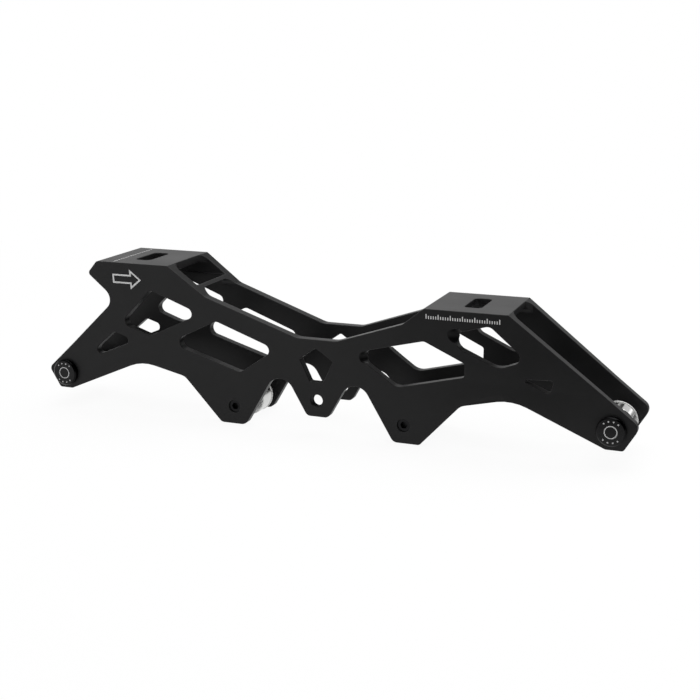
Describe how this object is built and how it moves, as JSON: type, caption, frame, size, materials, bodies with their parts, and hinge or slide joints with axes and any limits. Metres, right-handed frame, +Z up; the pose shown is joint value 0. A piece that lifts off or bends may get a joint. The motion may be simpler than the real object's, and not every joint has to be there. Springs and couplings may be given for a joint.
{
  "type": "inline skate frame",
  "caption": "Inline skate frame: hollow black body with leaning walls, milled windows and two slotted mounting decks, with screwed axles and loose bearing spacers.",
  "frame": {"origin": "centre of the spare middle wheel seat: on the axis of the empty centre axle holes, midway between the walls", "axes": "+X to the toe, +Y to the wall that carries the screw heads, +Z up to the boot"},
  "size_m": [0.2911, 0.041, 0.0748],
  "materials": {
    "black_anodised": "satin black anodised",
    "black_steel": "gloss black coated steel",
    "dark_steel": "dark oxide steel",
    "bright_aluminium": "bright turned aluminium"
  },
  "bodies": {
    "frame": {"frame_body": "black_anodised", "rear_axle_sleeve": "black_steel", "rear_axle_screw": "black_steel", "front_axle_sleeve": "black_steel", "front_axle_screw": "black_steel", "rear_mid_axle": "dark_steel", "front_mid_axle": "dark_steel"},
    "rear_ring": {"rear_spacer": "bright_aluminium"},
    "rear_mid_ring": {"rear_mid_spacer": "bright_aluminium"},
    "front_mid_ring": {"front_mid_spacer": "bright_aluminium"},
    "front_ring": {"front_spacer": "bright_aluminium"}
  },
  "joints": [
    {"name": "rear_spacer_spin", "type": "hinge", "parent": "frame", "child": "rear_ring", "pos_m": [-0.1355, 0, 0.001], "axis": [0, 1, 0], "continuous": true},
    {"name": "rear_mid_spacer_spin", "type": "hinge", "parent": "frame", "child": "rear_mid_ring", "pos_m": [-0.0424, 0, -0.0072], "axis": [0, 1, 0], "continuous": true},
    {"name": "front_mid_spacer_spin", "type": "hinge", "parent": "frame", "child": "front_mid_ring", "pos_m": [0.0424, 0, -0.0072], "axis": [0, 1, 0], "continuous": true},
    {"name": "front_spacer_spin", "type": "hinge", "parent": "frame", "child": "front_ring", "pos_m": [0.1355, 0, 0.001], "axis": [0, 1, 0], "continuous": true}
  ]
}
